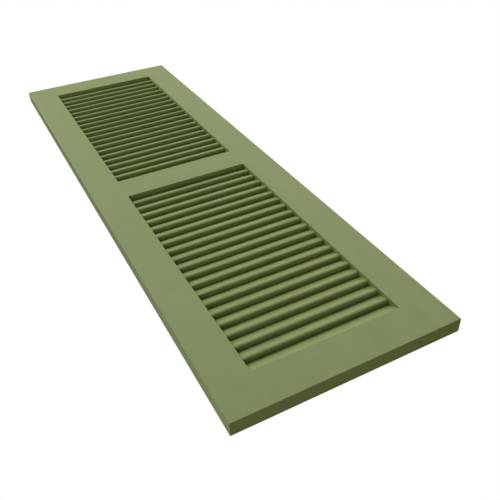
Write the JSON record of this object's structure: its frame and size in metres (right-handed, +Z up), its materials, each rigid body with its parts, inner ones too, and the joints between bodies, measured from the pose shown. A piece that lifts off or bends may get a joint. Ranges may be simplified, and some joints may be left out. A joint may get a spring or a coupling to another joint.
{
  "type": "louvered shutter",
  "caption": "Tall painted exterior shutter: stiles and rails around upper and lower bays of fixed, lapped louvers with rounded noses and bevelled sills.",
  "frame": {"origin": "middle of the flat back face, on the back of the middle rail", "axes": "+Z up along the stiles, +X across to the right as seen from the front, +Y out of the back towards the wall"},
  "size_m": [0.381, 0.0254, 1.2192],
  "materials": {
    "painted_frame": "satin green exterior paint on smooth wood",
    "painted_louvers": "satin green exterior paint on smooth wood"
  },
  "bodies": {
    "root": {"left_stile": "painted_frame", "right_stile": "painted_frame", "bottom_rail": "painted_frame", "mid_rail": "painted_frame", "top_rail": "painted_frame", "lower_louver_01": "painted_louvers", "lower_louver_02": "painted_louvers", "lower_louver_03": "painted_louvers", "lower_louver_04": "painted_louvers", "lower_louver_05": "painted_louvers", "lower_louver_06": "painted_louvers", "lower_louver_07": "painted_louvers", "lower_louver_08": "painted_louvers", "lower_louver_09": "painted_louvers", "lower_louver_10": "painted_louvers", "lower_louver_11": "painted_louvers", "lower_louver_12": "painted_louvers", "lower_louver_13": "painted_louvers", "lower_louver_14": "painted_louvers", "lower_louver_15": "painted_louvers", "lower_louver_16": "painted_louvers", "lower_louver_17": "painted_louvers", "lower_louver_18": "painted_louvers", "lower_louver_19": "painted_louvers", "upper_louver_01": "painted_louvers", "upper_louver_02": "painted_louvers", "upper_louver_03": "painted_louvers", "upper_louver_04": "painted_louvers", "upper_louver_05": "painted_louvers", "upper_louver_06": "painted_louvers", "upper_louver_07": "painted_louvers", "upper_louver_08": "painted_louvers", "upper_louver_09": "painted_louvers", "upper_louver_10": "painted_louvers", "upper_louver_11": "painted_louvers", "upper_louver_12": "painted_louvers", "upper_louver_13": "painted_louvers", "upper_louver_14": "painted_louvers", "upper_louver_15": "painted_louvers", "upper_louver_16": "painted_louvers", "upper_louver_17": "painted_louvers", "upper_louver_18": "painted_louvers", "upper_louver_19": "painted_louvers"}
  },
  "joints": []
}
